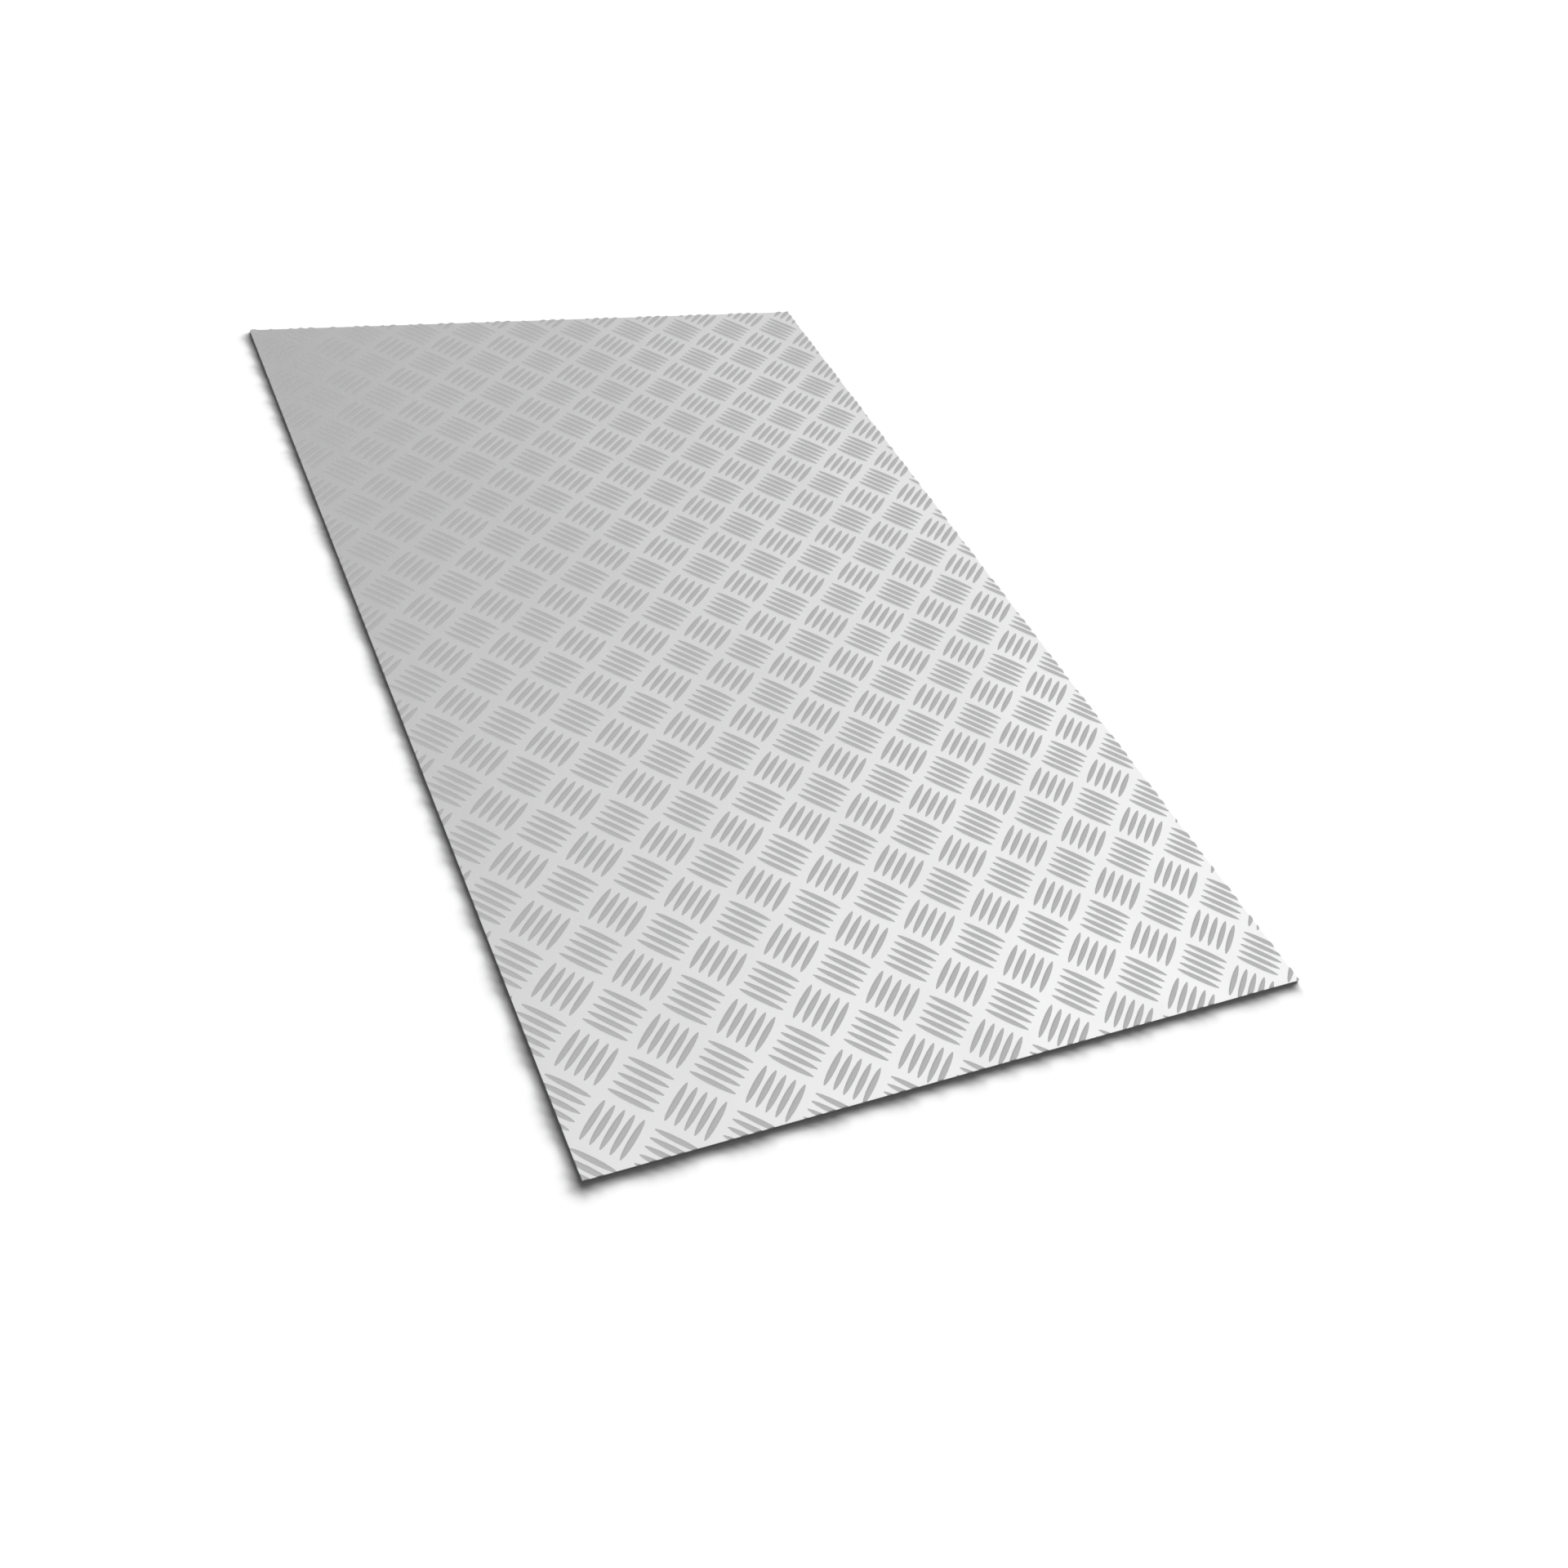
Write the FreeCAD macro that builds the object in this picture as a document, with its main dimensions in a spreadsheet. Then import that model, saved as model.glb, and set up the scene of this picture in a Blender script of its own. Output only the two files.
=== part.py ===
"""Aluminium five-bar checker plate, cut to one panel: a flat rolled sheet with its arrises broken.

Frame: origin at the middle of the underside, +X across the panel, +Y along its length, +Z up, millimetres.
The solid is the plate's base sheet, at the gauge it is sold by. The rolled tread bars are relief on its top
face, about half of that gauge high, and are added as surface finish rather than here.
"""

import FreeCAD, Part  # noqa: E401
import os

import Sketcher

PARTS_FOLDER = "parts"

# The panel's driving dimensions in millimetres, each written once: alias, value, what it is.
DIMENSIONS = (
    ("panel_length", 1000.0, "long side of the cut panel, along Y"),
    ("panel_width", 600.0, "short side of the cut panel, along X"),
    ("base_gauge", 2.0, "thickness of the sheet between the tread bars"),
    ("arris_break", 0.2, "leg of the filed chamfer on every sheared edge"),
)


def fill_sheet(doc):
    """The spreadsheet that every feature below takes its sizes from."""
    sheet = doc.addObject("Spreadsheet::Sheet", "Dimensions")
    for row, (alias, value, note) in enumerate(DIMENSIONS, start=1):
        sheet.set(f"A{row}", note)
        sheet.set(f"B{row}", str(value))
        sheet.setAlias(f"B{row}", alias)
    doc.recompute()
    return sheet


def origin_plane(body, role):
    """The body's own origin plane with that role, such as XY_Plane."""
    return next(f for f in body.Origin.OriginFeatures if f.Role == role)


def blank_outline(body):
    """The panel's rectangle on the XY plane, centred on the origin."""
    sketch = body.newObject("Sketcher::SketchObject", "PanelOutline")
    sketch.AttachmentSupport = (origin_plane(body, "XY_Plane"), [""])
    sketch.MapMode = "FlatFace"
    corners = [FreeCAD.Vector(x, y, 0) for x, y in ((-1, -1), (1, -1), (1, 1), (-1, 1))]
    for start, end in zip(corners, corners[1:] + corners[:1]):
        sketch.addGeometry(Part.LineSegment(start, end))
    for side in range(4):
        sketch.addConstraint(Sketcher.Constraint("Coincident", side, 2, (side + 1) % 4, 1))
    for side, direction in enumerate(("Horizontal", "Vertical", "Horizontal", "Vertical")):
        sketch.addConstraint(Sketcher.Constraint(direction, side))
    sketch.addConstraint(Sketcher.Constraint("Symmetric", 0, 1, 2, 1, -1, 1))
    width = sketch.addConstraint(Sketcher.Constraint("DistanceX", 0, 1, 0, 2, 2.0))
    length = sketch.addConstraint(Sketcher.Constraint("DistanceY", 1, 1, 1, 2, 2.0))
    sketch.renameConstraint(width, "width")
    sketch.renameConstraint(length, "length")
    sketch.setExpression("Constraints.width", "Dimensions.panel_width")
    sketch.setExpression("Constraints.length", "Dimensions.panel_length")
    return sketch


def sheared_blank(body, outline):
    """The sheet itself: the outline raised by the base gauge, its underside on Z = 0."""
    pad = body.newObject("PartDesign::Pad", "BaseSheet")
    pad.Profile = outline
    pad.setExpression("Length", "Dimensions.base_gauge")
    return pad


def broken_arrises(body, blank):
    """The light chamfer that takes the burr off all twelve sheared edges."""
    chamfer = body.newObject("PartDesign::Chamfer", "ArrisBreak")
    edges = [f"Edge{n}" for n in range(1, len(blank.Shape.Edges) + 1)]
    chamfer.Base = (blank, edges)
    chamfer.setExpression("Size", "Dimensions.arris_break")
    return chamfer


def build_checker_plate(doc):
    """The panel as one PartDesign body."""
    body = doc.addObject("PartDesign::Body", "CheckerPlate")
    body.Label = "checker_plate"
    outline = blank_outline(body)
    doc.recompute()
    blank = sheared_blank(body, outline)
    doc.recompute()
    body.Tip = broken_arrises(body, blank)
    doc.recompute()
    return body


def check(doc, bodies):
    """Stops the build if a feature failed or a body is empty or invalid."""
    for item in doc.Objects:
        if "Invalid" in item.State or "Error" in item.State:
            raise RuntimeError(f"{item.Label} failed: {item.State}")
    for body in bodies:
        if body.Shape.isNull() or not body.Shape.isValid() or len(body.Shape.Solids) != 1:
            raise RuntimeError(f"{body.Label} isn't one valid solid")


def export(bodies):
    """Writes each body to parts/LABEL.step and prints its size and volume."""
    os.makedirs(PARTS_FOLDER, exist_ok=True)
    for body in bodies:
        body.Shape.exportStep(os.path.join(PARTS_FOLDER, f"{body.Label}.step"))
        box = body.Shape.BoundBox
        size = f"{box.XLength:.2f} x {box.YLength:.2f} x {box.ZLength:.2f} mm"
        print(f"{body.Label}: {size}, {body.Shape.Volume / 1000:.2f} cm3, {len(body.Shape.Faces)} faces")


def main():
    doc = FreeCAD.newDocument("CheckerPlatePanel")
    fill_sheet(doc)
    bodies = [build_checker_plate(doc)]
    check(doc, bodies)
    export(bodies)


main()
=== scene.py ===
# %% [markdown]
# # Aluminium checker plate
#
# Checker plate is one sheet of aluminium. The mill presses it between a plain roll and an engraved one, and
# the engraving leaves a tread of raised bars in groups of five, each group turned a quarter from the next.
# The panel here is cut from such a sheet and lies flat, tread side up.
#
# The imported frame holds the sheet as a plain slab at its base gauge. This script gives it what the eye sees:
# the tread as real relief, one skin with the sheet, and the finishes that the mill and the shear leave.

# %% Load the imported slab
import math

import bmesh
import bpy
from mathutils import Matrix, Vector
from mathutils.geometry import delaunay_2d_cdt


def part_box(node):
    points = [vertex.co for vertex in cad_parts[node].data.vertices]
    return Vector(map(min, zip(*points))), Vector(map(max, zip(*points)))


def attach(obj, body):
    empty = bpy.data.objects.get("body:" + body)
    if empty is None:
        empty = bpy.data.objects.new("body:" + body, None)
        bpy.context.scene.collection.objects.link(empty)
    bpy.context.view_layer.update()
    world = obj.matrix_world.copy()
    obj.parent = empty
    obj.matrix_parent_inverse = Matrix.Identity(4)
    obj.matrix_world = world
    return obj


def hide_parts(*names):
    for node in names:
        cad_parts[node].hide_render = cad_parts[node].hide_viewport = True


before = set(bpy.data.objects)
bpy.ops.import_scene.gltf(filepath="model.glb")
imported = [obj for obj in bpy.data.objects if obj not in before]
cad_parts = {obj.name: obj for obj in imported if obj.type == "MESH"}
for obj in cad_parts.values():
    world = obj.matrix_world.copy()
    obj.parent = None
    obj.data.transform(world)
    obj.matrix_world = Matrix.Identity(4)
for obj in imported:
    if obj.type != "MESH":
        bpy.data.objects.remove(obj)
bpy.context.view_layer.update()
_, slab_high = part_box("checker_plate")
MM = 0.001
half_width = slab_high[0]
half_length = slab_high[1]
gauge = slab_high[2]
print(f"slab {2 * half_width / MM:.0f} x {2 * half_length / MM:.0f} x {gauge / MM:.1f} mm")

# %% [markdown]
# ## The sizes of the tread
#
# Everything in the tread follows from the square cell that holds one group of five bars. A roll is engraved
# at 45 degrees to the way the sheet runs, and this panel was cut a little off that line, so the cells are
# turned by a bit less than 45 degrees from the panel's long side. Bars that cross a cut are simply cut
# through. The anchor is the middle of one group, which fixes where the cuts fall in the pattern.

# %% Tread sizes
CELL = 41.15 * MM
BARS_IN_GROUP = 5
BAR_PITCH = 7.4 * MM
BAR_LENGTH = 35.2 * MM
BAR_WIDTH = 4.6 * MM
BAR_HEIGHT = 1.0 * MM
CUT_OFF_LINE = math.radians(-2.77)
CELL_TURN = math.radians(45) + CUT_OFF_LINE
ANCHOR = Vector((-14.0 * MM, -16.6 * MM, 0))
QUARTER_TURN = math.radians(90)

group_across = (BARS_IN_GROUP - 1) * BAR_PITCH + BAR_WIDTH
print(f"a group is {group_across / MM:.1f} mm across, in a cell of {CELL / MM:.2f} mm")

# %% [markdown]
# ## One tread bar
#
# Seen from above a bar is a slim lens with blunt ends. Across, it is a low arch: steep at the foot, where
# the metal flowed up into the roll's groove, and nearly flat on top. Along its length its top stays level
# and then runs out at the ends. The bar could be a smooth sculpted shape, but there are hundreds of them,
# so it is lofted from a few stations along its length, each with the same few points across, and smooth
# shading rounds it off.

# %% The bar's outline and section
STATIONS = [math.sin(math.radians(angle)) for angle in (-90, -75, -50, -25, 0, 25, 50, 75, 90)]
SECTION = ((-1.0, 0.0), (-0.8, 0.62), (-0.42, 0.93), (0.0, 1.0), (0.42, 0.93), (0.8, 0.62), (1.0, 0.0))
END_BLUNTNESS = 0.52  # the outline's power: 0.5 is an ellipse, and more makes the ends slimmer
LEVEL_RUN = 3.2  # the higher, the longer the top stays level
RUN_OUT = 0.6  # the lower, the steeper the top drops at the ends


def half_width_at(station):
    """Half the bar's width at a station from -1 to 1 along it: a lens with blunt ends."""
    return BAR_WIDTH / 2 * (1 - station**2) ** END_BLUNTNESS


def height_at(station):
    """The bar's height there: level over most of its length, then running out at each end."""
    return BAR_HEIGHT * (1 - abs(station) ** LEVEL_RUN) ** RUN_OUT


def bar_points(centre):
    """The bar's surface as rows of points, one row for each station; the first and last are single tips."""
    rows = []
    for station in STATIONS:
        reach, rise = half_width_at(station), height_at(station)
        x = station * BAR_LENGTH / 2
        if abs(station) == 1:
            rows.append([Vector((x, centre, gauge))])
        else:
            rows.append([Vector((x, centre + a * reach, gauge + b * rise)) for a, b in SECTION])
    return rows


print(f"a bar has {len(STATIONS)} stations of {len(SECTION)} points")

# %% [markdown]
# ## One cell of tread
#
# The bars are not stuck on the sheet. They are the same metal, so the ground between them has to meet each
# bar's foot edge for edge. A boolean union of hundreds of bars would be slow and leave slivers. Instead one
# cell is made as a single skin: its square and the five outlines go into a constrained Delaunay
# triangulation, the triangles that would lie under a bar are left out, and the bars' own faces fill the
# holes. The cell's four sides have no points but their corners, so any cell fits its neighbour, turned or
# not.

# %% Build the cell
CORNER_SIGNS = ((-1, -1), (1, -1), (1, 1), (-1, 1))
INSIDE_FOOT = 0.97  # share of a bar's half-width that surely lies under it
HAIR = 0.001 * MM  # points closer than this are one, and heights within it are level
SAME_POINT = 1e-7  # metres, for the triangulation

bar_centres = [(k - (BARS_IN_GROUP - 1) / 2) * BAR_PITCH for k in range(BARS_IN_GROUP)]


def foot_outline(rows):
    """The closed outline where a bar meets the ground, counter-clockwise."""
    near_side = [row[0] for row in rows]
    far_side = [row[-1] for row in rows[1:-1]]
    return near_side + far_side[::-1]


def under_a_bar(point):
    """Whether a point of the ground lies inside a bar's outline."""
    station = point.x / (BAR_LENGTH / 2)
    if abs(station) >= 1:
        return False
    return min(abs(point.y - centre) for centre in bar_centres) < half_width_at(station) * INSIDE_FOOT


def add_bar(bm, rows):
    """The bar's faces, lofted from row to row; the foot edges stay sharp against the ground."""
    made = [[bm.verts.new(point) for point in row] for row in rows]
    for first, second in zip(made, made[1:]):
        across = max(len(first), len(second)) - 1
        for k in range(across):
            a = first[k:k + 2] if len(first) > 1 else first
            b = second[k:k + 2] if len(second) > 1 else second
            bm.faces.new(a[:1] + b + a[:0:-1])


def add_ground(bm, outlines):
    """The flat metal between the bars, as triangles that share the bars' foot points."""
    reach = CELL / 2
    points = [Vector((x * reach, y * reach)) for x, y in CORNER_SIGNS]
    edges = [(k, (k + 1) % 4) for k in range(4)]
    for outline in outlines:
        start = len(points)
        points += [point.to_2d() for point in outline]
        edges += [(start + k, start + (k + 1) % len(outline)) for k in range(len(outline))]
    found, _, triangles, *_ = delaunay_2d_cdt(points, edges, [], 0, SAME_POINT)
    corners = [bm.verts.new((point.x, point.y, gauge)) for point in found]
    for triangle in triangles:
        middle = sum((found[k] for k in triangle), Vector((0, 0))) / 3
        if not under_a_bar(middle):
            bm.faces.new([corners[k] for k in triangle])


def build_cell():
    """One square of tread as an object for the layout to repeat."""
    bm = bmesh.new()
    bars = [bar_points(centre) for centre in bar_centres]
    for rows in bars:
        add_bar(bm, rows)
    add_ground(bm, [foot_outline(rows) for rows in bars])
    bmesh.ops.remove_doubles(bm, verts=bm.verts[:], dist=HAIR)
    bmesh.ops.recalc_face_normals(bm, faces=bm.faces[:])
    if sum(face.normal.z for face in bm.faces) < 0:
        bmesh.ops.reverse_faces(bm, faces=bm.faces[:])
    level = gauge + HAIR
    for face in bm.faces:
        face.smooth = any(corner.co.z > level for corner in face.verts)
    for edge in bm.edges:
        edge.smooth = any(corner.co.z > level for corner in edge.verts)
    mesh = bpy.data.meshes.new("tread_cell")
    bm.to_mesh(mesh)
    bm.free()
    cell = bpy.data.objects.new("tread_cell", mesh)
    bpy.context.scene.collection.objects.link(cell)
    return cell


tread_cell = build_cell()
print(f"one cell has {len(tread_cell.data.polygons)} faces")

# %% [markdown]
# ## Shader maths as Python
#
# The finishes below are sums of masks and noise. Wiring each Math node by hand hides the sum, so this small
# class wraps a socket and lets an expression such as `1 - mask` add its own nodes.


# %% A socket that can be added and multiplied
class Wire:
    """One output socket of a material's node tree."""

    def __init__(self, tree, socket):
        self.tree = tree
        self.socket = socket

    def node(self, kind, settings=None, out=0, **inputs):
        """Adds any node: its settings, then the values or links of its sockets. Gives one output."""
        return add_node(self.tree, kind, settings, out, **inputs)

    def maths(self, operation, *values):
        """Adds one Math node."""
        sockets = {f"i{k}": value for k, value in enumerate(values)}
        return self.node("ShaderNodeMath", {"operation": operation}, **sockets)

    def __add__(self, other):
        return self.maths("ADD", self, other)

    def __sub__(self, other):
        return self.maths("SUBTRACT", self, other)

    def __rsub__(self, other):
        return self.maths("SUBTRACT", other, self)

    def __mul__(self, other):
        return self.maths("MULTIPLY", self, other)

    __radd__ = __add__
    __rmul__ = __mul__

    def beside(self, out):
        """Another output of the same node."""
        return Wire(self.tree, self.socket.node.outputs[out])

    def ramp(self, low, high):
        """0 below low, 1 above high, and a soft step between."""
        soft = {"interpolation_type": "SMOOTHSTEP"}
        return self.node("ShaderNodeMapRange", soft, i0=self, i1=low, i2=high)


def add_node(tree, kind, settings=None, out=0, **inputs):
    """Adds a node; inputs are i0, i1 and so on by place, or a socket's name with _ for each space."""
    node = tree.nodes.new(kind)
    for name, value in (settings or {}).items():
        setattr(node, name, value)
    for name, value in inputs.items():
        by_place = name[0] == "i" and name[1:].isdigit()
        socket = node.inputs[int(name[1:])] if by_place else node.inputs[name.replace("_", " ")]
        if isinstance(value, Wire):
            tree.links.new(value.socket, socket)
        else:
            socket.default_value = value
    return Wire(tree, node.outputs[out])


def blend_colours(mask, first, second):
    """first where the mask is 0 and second where it is 1."""
    return mask.node(
        "ShaderNodeMix", {"data_type": "RGBA"}, out=2, Factor=mask, i6=first, i7=second,
    )


def new_material(name):
    """An empty node material, and its output node."""
    material = bpy.data.materials.new(name)
    material.use_nodes = True
    material.node_tree.nodes.clear()
    output = material.node_tree.nodes.new("ShaderNodeOutputMaterial")
    return material, material.node_tree, output


print("shader helpers ready")

# %% [markdown]
# ## Mill-finish aluminium
#
# The metal is bare, and three tools have left their mark on it. The ground was pressed by the polished part
# of the roll, so it is bright and satin. The bars were pressed by the engraved grooves, which are never as
# smooth, so they come out a flat, matt grey. The cut faces were torn by the shear. One material could tell
# these apart by masks, but each border runs along edges of the mesh, so three small materials on their own
# faces keep every border sharp. All three read Object coordinates, turned so that the fine grain runs the
# way the sheet went through the rolls.

# %% What the finishes share


def start_finish(name):
    """A new material, and its Object coordinates turned to run along the roll."""
    material, tree, output = new_material(name)
    place = add_node(tree, "ShaderNodeTexCoord", out=3)
    along_roll = place.node("ShaderNodeMapping", Vector=place, Rotation=(0, 0, -CUT_OFF_LINE))
    return material, output, along_roll


def noise(along_roll, stretch, scale, detail, roughness=0.5):
    """Soft random grey, drawn out along the roll where stretch is small."""
    spread = along_roll.node("ShaderNodeMapping", Vector=along_roll, Scale=(1, stretch, 1))
    return spread.node("ShaderNodeTexNoise", Vector=spread, Scale=scale, Detail=detail, Roughness=roughness)


def end_finish(material, output, **inputs):
    """The shader itself, linked to the material's output."""
    shader = add_node(material.node_tree, "ShaderNodeBsdfPrincipled", **inputs)
    material.node_tree.links.new(shader.socket, output.inputs["Surface"])
    print(f"{material.name}: {len(material.node_tree.nodes)} nodes")
    return material


print(f"grain lies {math.degrees(abs(CUT_OFF_LINE)):.2f} degrees off the panel's long side")

# %% The ground, bright and satin
GRAIN_DEPTH = 0.003 * MM
GROUND_BRIGHT = (0.93, 0.93, 0.935, 1)
GROUND_DULL = (0.88, 0.88, 0.885, 1)


def satin_ground():
    """What the polished roll leaves: bright metal with long fine grain and faint dull clouds."""
    material, output, along_roll = start_finish("satin_aluminium")
    grain = noise(along_roll, stretch=0.03, scale=900, detail=3)
    clouds = noise(along_roll, stretch=0.55, scale=7, detail=2)
    colour = blend_colours(clouds.ramp(0.3, 0.7), GROUND_BRIGHT, GROUND_DULL)
    rough = 0.30 + 0.10 * grain + 0.06 * clouds
    bump = grain.node("ShaderNodeBump", Height=grain, Distance=GRAIN_DEPTH, Strength=0.35)
    return end_finish(material, output, Base_Color=colour, Roughness=rough, Metallic=1.0, Normal=bump)


ground_finish = satin_ground()

# %% The bars, matt and grey
PIT_DEPTH = 0.012 * MM
BAR_GREY = (0.555, 0.555, 0.557, 1)
BAR_DARK = (0.515, 0.515, 0.517, 1)


def matt_bars():
    """What the engraved grooves leave: a pitted grey that looks nearly the same from every side."""
    material, output, along_roll = start_finish("matt_aluminium")
    pitting = noise(along_roll, stretch=1, scale=1600, detail=2, roughness=0.6)
    colour = blend_colours(pitting.ramp(0.35, 0.7), BAR_GREY, BAR_DARK)
    rough = 0.62 + 0.12 * pitting
    bump = pitting.node("ShaderNodeBump", Height=pitting, Distance=PIT_DEPTH, Strength=0.35)
    return end_finish(material, output, Base_Color=colour, Roughness=rough, Metallic=0.25, Normal=bump)


bar_finish = matt_bars()

# %% The cut faces, burnished above and torn below
SHEAR_BRIGHT = (0.62, 0.62, 0.625, 1)
SHEAR_TORN = (0.36, 0.36, 0.365, 1)


def sheared_faces():
    """What a shear leaves: the blade burnishes the upper part of the cut, and the rest tears away."""
    material, output, along_roll = start_finish("sheared_aluminium")
    height = along_roll.node("ShaderNodeSeparateXYZ", out=2, Vector=along_roll)
    burnished = height.ramp(gauge * 0.45, gauge * 0.75)
    colour = blend_colours(burnished, SHEAR_TORN, SHEAR_BRIGHT)
    return end_finish(material, output, Base_Color=colour, Roughness=0.55, Metallic=1.0)


cut_finish = sheared_faces()

# %% [markdown]
# ## The whole tread, from one cell
#
# A roll prints the same cell again and again, each one turned a quarter from its neighbours. Geometry Nodes
# do just that: a grid of points, an instance of the cell on each, and a quarter turn on every other point.
# Cells that would miss the panel are left out before they cost anything. The instances are then made real
# and welded where their corners meet, which leaves one skin. Last, the whole skin takes the ground's finish,
# and then every face that stands above the ground takes the bars'.

# %% The layout tree
CELL_WELD = 0.01 * MM
INPUT_KINDS = {
    "Cell": "Object",
    "Cell Pitch": "Float",
    "Cells Each Way": "Int",
    "Turn": "Float",
    "Anchor": "Vector",
    "Reach": "Vector",
    "Gauge": "Float",
    "Ground Finish": "Material",
    "Bar Finish": "Material",
}


def build_layout_tree():
    """The tree that lays cells over the panel, and the identifier of each of its inputs by name."""
    group = bpy.data.node_groups.new("lay_tread_cells", "GeometryNodeTree")
    identifiers = {}
    for name, kind in INPUT_KINDS.items():
        socket = group.interface.new_socket(name, in_out="INPUT", socket_type=f"NodeSocket{kind}")
        identifiers[name] = socket.identifier
    group.interface.new_socket("Tread", in_out="OUTPUT", socket_type="NodeSocketGeometry")
    given = group.nodes.new("NodeGroupInput")

    def take(name):
        return Wire(group, given.outputs[name])

    count = take("Cells Each Way")
    span = take("Cell Pitch") * (count - 1)
    grid = add_node(
        group, "GeometryNodeMeshGrid", Size_X=span, Size_Y=span, Vertices_X=count, Vertices_Y=count,
    )
    whole_turn = add_node(group, "ShaderNodeCombineXYZ", Z=take("Turn"))
    spots = add_node(
        group, "GeometryNodeTransform", Geometry=grid, Translation=take("Anchor"), Rotation=whole_turn,
    )

    place = add_node(group, "GeometryNodeInputPosition")
    off_middle = place.node("ShaderNodeVectorMath", {"operation": "ABSOLUTE"}, i0=place)
    short_of = place.node("ShaderNodeVectorMath", {"operation": "SUBTRACT"}, i0=take("Reach"), i1=off_middle)
    sides = short_of.node("ShaderNodeSeparateXYZ", Vector=short_of)
    nearest = sides.maths("MINIMUM", sides, sides.beside("Y"))
    on_panel = nearest.maths("GREATER_THAN", nearest, 0.0)

    number = add_node(group, "GeometryNodeInputIndex")
    every_other = number.maths("MODULO", number, 2.0)
    own_turn = take("Turn") + every_other * QUARTER_TURN
    rotation = add_node(group, "ShaderNodeCombineXYZ", Z=own_turn)

    cell = add_node(group, "GeometryNodeObjectInfo", out="Geometry", Object=take("Cell"))
    placed = add_node(
        group, "GeometryNodeInstanceOnPoints",
        Points=spots, Selection=on_panel, Instance=cell, Rotation=rotation,
    )
    real = add_node(group, "GeometryNodeRealizeInstances", Geometry=placed)
    welded = add_node(group, "GeometryNodeMergeByDistance", Geometry=real, Distance=CELL_WELD)

    height = add_node(group, "ShaderNodeSeparateXYZ", out=2, Vector=place)
    raised = height.maths("GREATER_THAN", height, take("Gauge") + HAIR)
    all_ground = add_node(
        group, "GeometryNodeSetMaterial", Geometry=welded, Material=take("Ground Finish"),
    )
    finished = add_node(
        group, "GeometryNodeSetMaterial",
        Geometry=all_ground, Selection=raised, Material=take("Bar Finish"),
    )
    result = group.nodes.new("NodeGroupOutput")
    group.links.new(finished.socket, result.inputs[0])
    return group, identifiers


layout_tree, layout_inputs = build_layout_tree()
print("layout inputs:", ", ".join(layout_inputs))

# %% Lay the cells
half_diagonal = CELL / math.sqrt(2)
panel_reach = Vector((half_width + half_diagonal, half_length + half_diagonal, 0))
cells_each_way = 2 * math.ceil((math.hypot(half_width, half_length) + ANCHOR.length) / CELL) + 1


def lay_cells():
    """Runs the layout tree on an empty mesh and gives the result as a plain mesh."""
    holder = bpy.data.objects.new("tread_layout", bpy.data.meshes.new("tread_layout"))
    bpy.context.scene.collection.objects.link(holder)
    modifier = holder.modifiers.new("lay_tread_cells", "NODES")
    modifier.node_group = layout_tree
    values = {
        "Cell": tread_cell,
        "Cell Pitch": CELL,
        "Cells Each Way": cells_each_way,
        "Turn": CELL_TURN,
        "Anchor": ANCHOR,
        "Reach": panel_reach,
        "Gauge": gauge,
        "Ground Finish": ground_finish,
        "Bar Finish": bar_finish,
    }
    for name, value in values.items():
        modifier[layout_inputs[name]] = value
    evaluated = holder.evaluated_get(bpy.context.evaluated_depsgraph_get())
    mesh = bpy.data.meshes.new_from_object(evaluated)
    for spent in (holder, tread_cell):
        bpy.data.objects.remove(spent)
    return mesh


rolled_mesh = lay_cells()
print(f"{cells_each_way} cells each way, {len(rolled_mesh.polygons)} faces kept over the panel")

# %% [markdown]
# ## Cutting the panel out
#
# A guillotine shear cuts straight through ground and bars alike. So the skin is cut by four upright planes,
# and each cut face is then closed with one flat face that follows the tread's profile along its top: where
# a bar was cut, its section shows in the edge. The underside is smooth, because the plain roll made it, so
# it is a single face.

# %% Shear the skin and close it
CUT_SNAP = 0.0005 * MM  # a point this near a cut counts as on it
CUT_WELD = 0.002 * MM  # points this close along a cut are joined
SMOOTH_BELOW = math.radians(45)

finishes = [ground_finish, bar_finish, cut_finish]


def shear(bm, side):
    """Cuts away what lies past one side of the panel, given as that side's outward normal."""
    edge_point = Vector((side.x * half_width, side.y * half_length, 0))
    everything = bm.verts[:] + bm.edges[:] + bm.faces[:]
    bmesh.ops.bisect_plane(
        bm, geom=everything, dist=CUT_SNAP, plane_co=edge_point, plane_no=side, clear_outer=True,
    )


def profile_between(rim, start, end):
    """The rim points along one cut, in order from one corner of the panel to the next."""
    along = end - start
    across = Vector((-along.y, along.x, 0)).normalized()
    on_cut = [v for v in rim if abs((v.co - start).dot(across)) < CUT_WELD]
    return sorted(on_cut, key=lambda v: (v.co - start).dot(along))


def close_cuts(bm):
    """Adds the four cut faces and the underside, which makes the skin one closed solid."""
    rim = {v for e in bm.edges if e.is_boundary for v in e.verts}
    corners = [Vector((x * half_width, y * half_length, 0)) for x, y in CORNER_SIGNS]
    feet = [bm.verts.new(corner) for corner in corners]
    for k, start in enumerate(corners):
        following = (k + 1) % 4
        profile = profile_between(rim, start, corners[following])
        cut_face = bm.faces.new([feet[k], feet[following]] + profile[::-1])
        cut_face.material_index = finishes.index(cut_finish)
        print(f"cut {k + 1}: {len(profile)} points along its top")
    underside = bm.faces.new(feet[::-1])
    underside.material_index = finishes.index(ground_finish)


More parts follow.
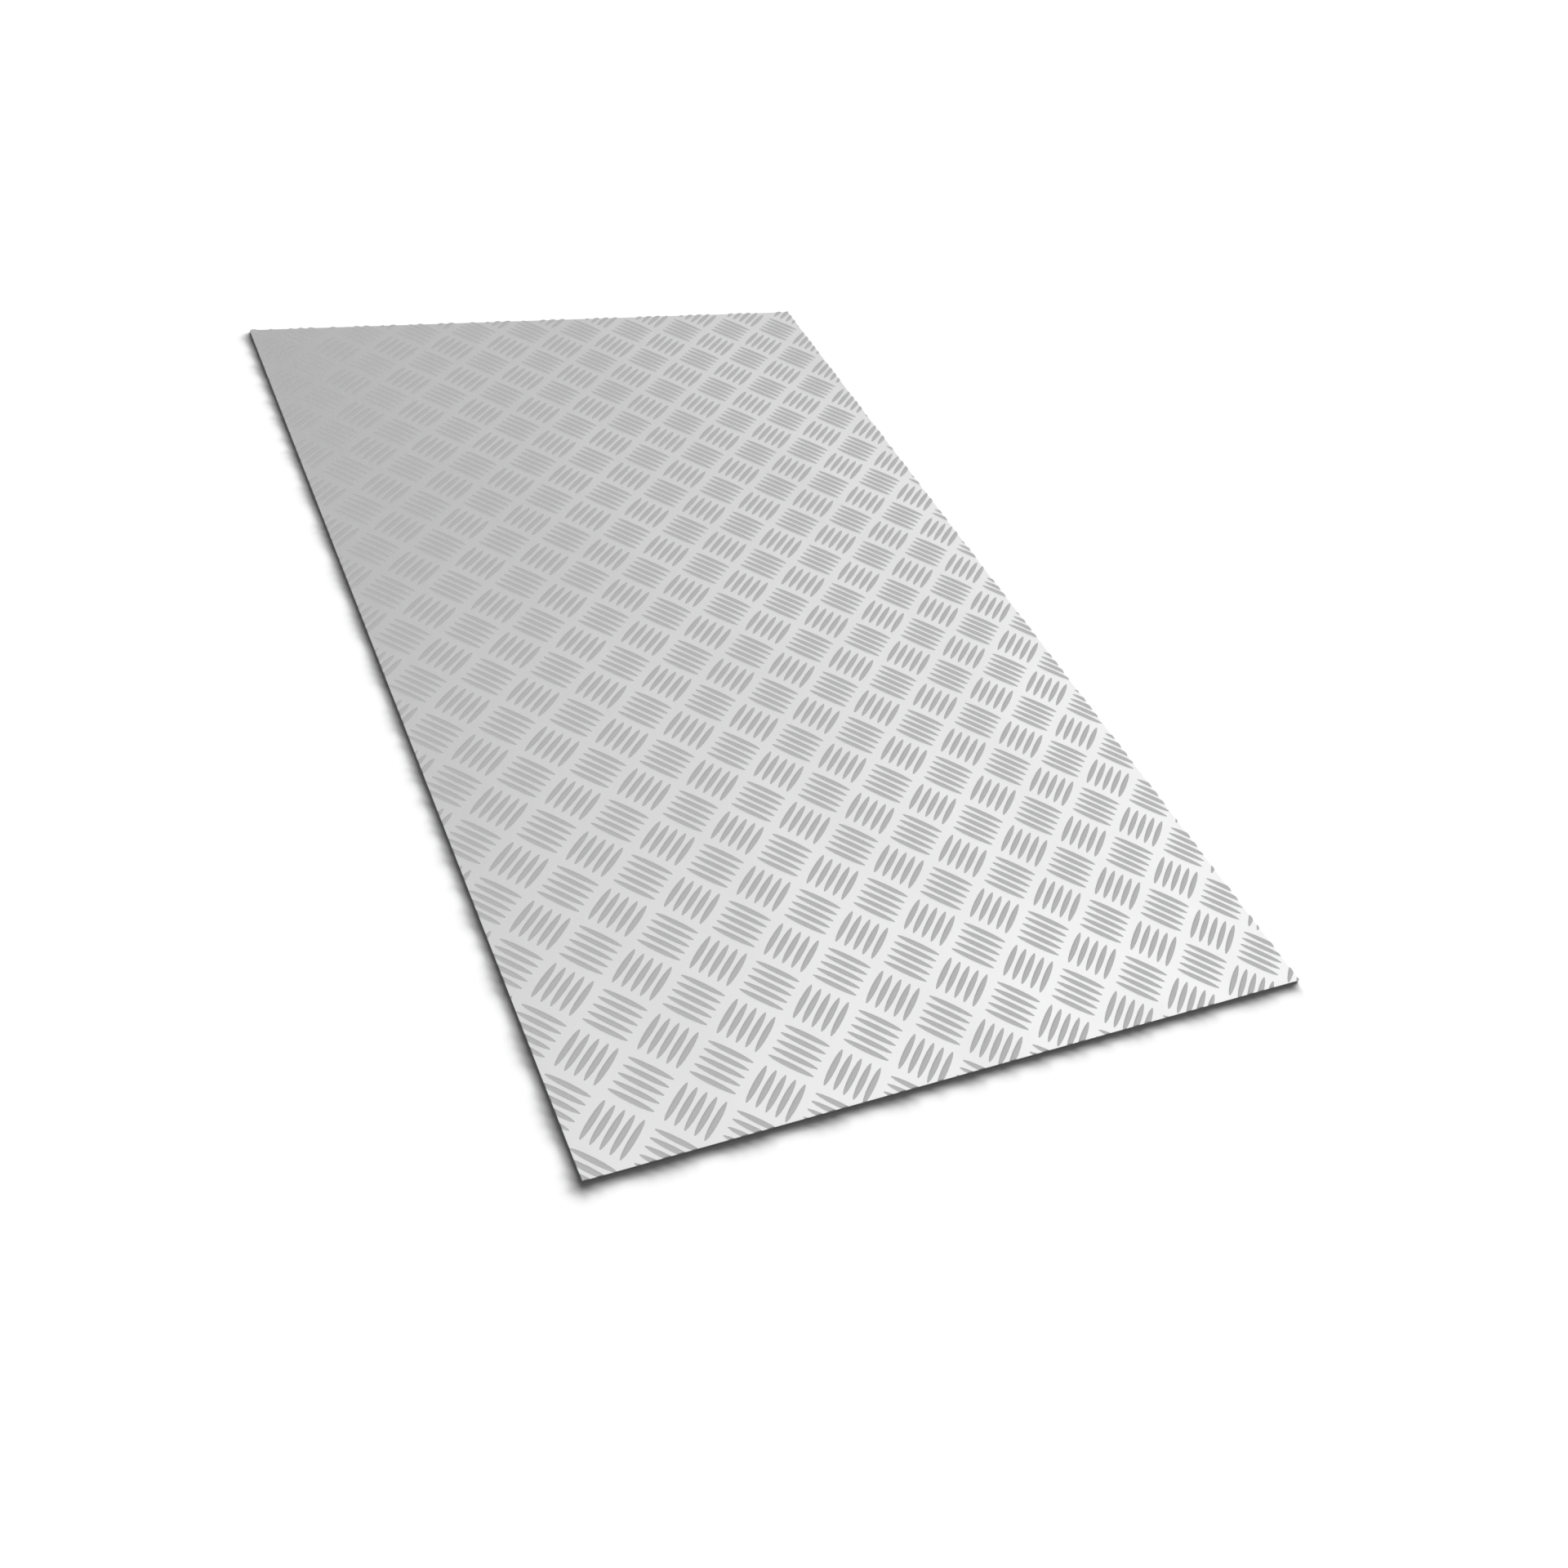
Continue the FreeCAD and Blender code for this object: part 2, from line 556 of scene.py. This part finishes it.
def cut_panel(mesh):
    """The rolled skin cut to the panel and closed, as a finished object."""
    bm = bmesh.new()
    bm.from_mesh(mesh)
    for side in (Vector((1, 0, 0)), Vector((-1, 0, 0)), Vector((0, 1, 0)), Vector((0, -1, 0))):
        shear(bm, side)
    bmesh.ops.remove_doubles(bm, verts=bm.verts[:], dist=CUT_WELD)
    for face in bm.faces:
        face.material_index = finishes.index(mesh.materials[face.material_index])
    close_cuts(bm)
    for edge in bm.edges:
        edge.smooth = edge.smooth and edge.calc_face_angle(0) < SMOOTH_BELOW
    loose = sum(1 for edge in bm.edges if not edge.is_manifold)
    print(f"{len(bm.faces)} faces, {loose} open edges, {bm.calc_volume() / MM**3 / 1000:.1f} cm3")
    panel_mesh = bpy.data.meshes.new("checker_plate_skin")
    for finish in finishes:
        panel_mesh.materials.append(finish)
    bm.to_mesh(panel_mesh)
    bm.free()
    panel = bpy.data.objects.new("checker_plate_skin", panel_mesh)
    bpy.context.scene.collection.objects.link(panel)
    return panel


plate = cut_panel(rolled_mesh)
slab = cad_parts["checker_plate"]
slab.data.materials.clear()
slab.data.materials.append(ground_finish)
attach(plate, "root")
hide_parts("checker_plate")
plate.data.calc_loop_triangles()
print(f"the plate has {len(plate.data.loop_triangles)} triangles")

# %% [markdown]
# ## Floor, light and camera
#
# The plate lies on a plain white floor. Bare metal looks like what it reflects, so the light is a broad soft
# sky all round, with two dim screens in it: a dark one past the far end, and a fainter one low at the near
# right. The ground then runs from grey at the far left to nearly white at the near right, and the matt bars,
# which look nearly the same from all sides, stay one grey. A thin sheet casts almost no shadow under such a
# sky. A row of low lamps at the far right, linked to the floor alone, draws the soft dark line along the two
# edges that face away from them.

# %% The floor
FLOOR_SIZE = 30.0
FLOOR_LEVEL = 1.04  # how bright the lit floor comes out, just past white
SKY_SHARE = 0.11
LAMP_SHARE = FLOOR_LEVEL - SKY_SHARE


def build_floor():
    """A plain floor: white under sky and lamps together, and dark where the plate hides the lamps."""
    bm = bmesh.new()
    bmesh.ops.create_grid(bm, x_segments=1, y_segments=1, size=FLOOR_SIZE / 2)
    mesh = bpy.data.meshes.new("floor")
    bm.to_mesh(mesh)
    bm.free()
    floor = bpy.data.objects.new("floor", mesh)
    bpy.context.scene.collection.objects.link(floor)
    material, tree, output = new_material("studio_floor")
    paint = add_node(tree, "ShaderNodeBsdfDiffuse", Color=(SKY_SHARE, SKY_SHARE, SKY_SHARE, 1))
    tree.links.new(paint.socket, output.inputs["Surface"])
    mesh.materials.append(material)
    return floor


floor = build_floor()
print(f"floor {FLOOR_SIZE:.0f} m wide, {SKY_SHARE:.0%} of its light from the sky")

# %% The sky and the low lamps
SKY_LEVEL = 1.06
SCREENS = (
    # heading, elevation, how much darker than the sky, and the cosines between which it fades in
    (math.radians(99), math.radians(29), 0.73, 0.62, 1.02),
    (math.radians(300), math.radians(18), 0.45, 0.45, 1.00),
)
LAMPS = 7
LAMP_ELEVATION = math.radians(11.5)
LAMP_HEADING = math.radians(49)
LAMP_ROW = math.radians(60)
LAMP_SPREAD = math.radians(10)
LAMP_DISTANCE = 3.0


def pointing(heading, elevation):
    """The unit vector with that heading from +X and that height above the horizon."""
    flat = math.cos(elevation)
    return Vector((flat * math.cos(heading), flat * math.sin(heading), math.sin(elevation)))


def light_sky():
    """A soft sky with dim screens for the metal to reflect; the camera sees plain white."""
    world = bpy.data.worlds.new("studio_sky")
    world.use_nodes = True
    bpy.context.scene.world = world
    tree = world.node_tree
    tree.nodes.clear()
    way = add_node(tree, "ShaderNodeTexCoord")
    sky = SKY_LEVEL
    for heading, elevation, depth, outside, inside in SCREENS:
        screen = pointing(heading, elevation)
        towards = way.node(
            "ShaderNodeVectorMath", {"operation": "DOT_PRODUCT"}, out="Value", i0=way, i1=screen,
        )
        sky = sky - depth * towards.ramp(outside, inside)
    camera = add_node(tree, "ShaderNodeLightPath", out="Is Camera Ray")
    level = sky + (1 - sky) * camera
    background = add_node(tree, "ShaderNodeBackground", Color=(1, 1, 1, 1), Strength=level)
    output = tree.nodes.new("ShaderNodeOutputWorld")
    tree.links.new(background.socket, output.inputs["Surface"])


def light_floor():
    """A row of low lamps for the floor alone, side by side so that the plate's shadow is soft."""
    lit = bpy.data.collections.new("lit_by_low_lamps")
    lit.objects.link(floor)
    energy = math.pi * LAMP_SHARE / SKY_SHARE / math.sin(LAMP_ELEVATION) / LAMPS
    for k in range(LAMPS):
        lamp_data = bpy.data.lights.new(f"low_lamp_{k + 1}", "SUN")
        lamp_data.angle = LAMP_SPREAD
        lamp_data.energy = energy
        lamp = bpy.data.objects.new(f"low_lamp_{k + 1}", lamp_data)
        toward = pointing(LAMP_HEADING + (k / (LAMPS - 1) - 0.5) * LAMP_ROW, LAMP_ELEVATION)
        lamp.location = toward * LAMP_DISTANCE
        lamp.rotation_euler = toward.to_track_quat("Z", "Y").to_euler()
        bpy.context.scene.collection.objects.link(lamp)
        lamp.light_linking.receiver_collection = lit
    print(f"{LAMPS} low lamps at {math.degrees(LAMP_ELEVATION):.0f} degrees, strength {energy:.1f} each")


light_sky()
light_floor()

# %% The camera
CAMERA_PLACE = Vector((-574.2, -967.9, 893.2)) * MM + Vector((0, 0, gauge))
CAMERA_FORWARD = Vector((0.4327, 0.5814, -0.6891))
CAMERA_RIGHT = Vector((0.8874, -0.4096, 0.2115))
CAMERA_LENS = 36.68
CAMERA_SENSOR = 36
CAMERA_SHIFT = (-0.0104, 0.0036)
CAMERA_REACH = 100


def place_camera():
    """The camera stands at the plate's near left, looks down along it, and is tilted a little."""
    camera_data = bpy.data.cameras.new("camera")
    camera_data.sensor_width = CAMERA_SENSOR
    camera_data.lens = CAMERA_LENS
    camera_data.shift_x, camera_data.shift_y = CAMERA_SHIFT
    camera_data.clip_end = CAMERA_REACH
    camera = bpy.data.objects.new("camera", camera_data)
    back = -CAMERA_FORWARD.normalized()
    up = back.cross(CAMERA_RIGHT).normalized()
    right = up.cross(back)
    camera.matrix_world = Matrix.Translation(CAMERA_PLACE) @ Matrix((right, up, back)).transposed().to_4x4()
    bpy.context.scene.collection.objects.link(camera)
    bpy.context.scene.camera = camera


place_camera()
print(f"camera {CAMERA_PLACE.length:.2f} m from the plate's middle, lens {CAMERA_LENS} mm")
bpy.context.scene.view_settings.view_transform = "Standard"
